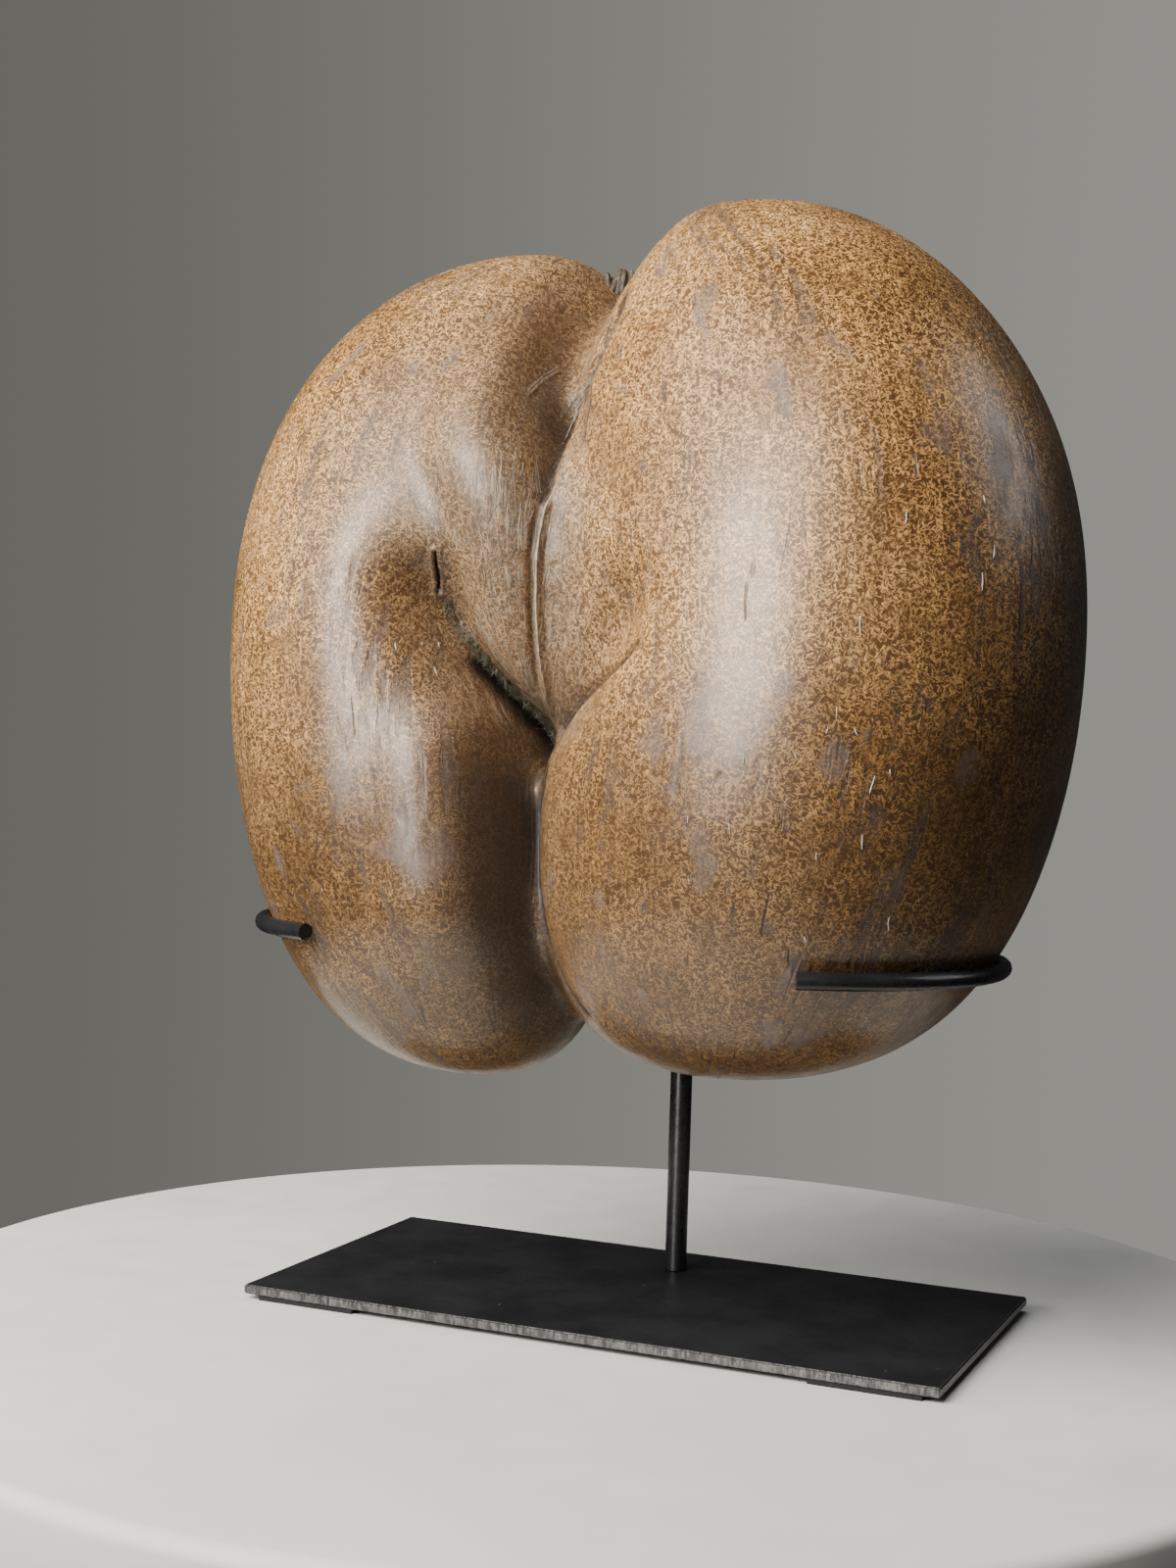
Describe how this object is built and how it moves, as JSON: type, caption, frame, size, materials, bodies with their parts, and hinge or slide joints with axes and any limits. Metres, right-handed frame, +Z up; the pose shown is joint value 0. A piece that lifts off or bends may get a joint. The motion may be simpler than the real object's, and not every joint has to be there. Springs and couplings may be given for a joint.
{
  "type": "coco de mer seed",
  "caption": "Polished two-lobed coco de mer seed with a deep cleft and a central mound, cupped by bent rod arms on a slim post and a rectangular base plate.",
  "frame": {"origin": "middle of the whole object's box, at the height of the pads' undersides", "axes": "+Z up from the table to the top of the seed, -Y towards the viewer and the front of the seed, +X towards the larger lobe"},
  "size_m": [0.2858, 0.1864, 0.3762],
  "materials": {
    "polished_shell": "hard brown seed shell, rubbed to a satin polish",
    "black_steel_plate": "satin black",
    "black_steel_rod": "satin black",
    "black_felt": "matte"
  },
  "bodies": {
    "root": {"seed": "polished_shell", "base_plate": "black_steel_plate", "pad_front_left": "black_felt", "pad_front_right": "black_felt", "pad_back_left": "black_felt", "pad_back_right": "black_felt", "post": "black_steel_rod", "arm_left": "black_steel_rod", "arm_right": "black_steel_rod"}
  },
  "joints": []
}
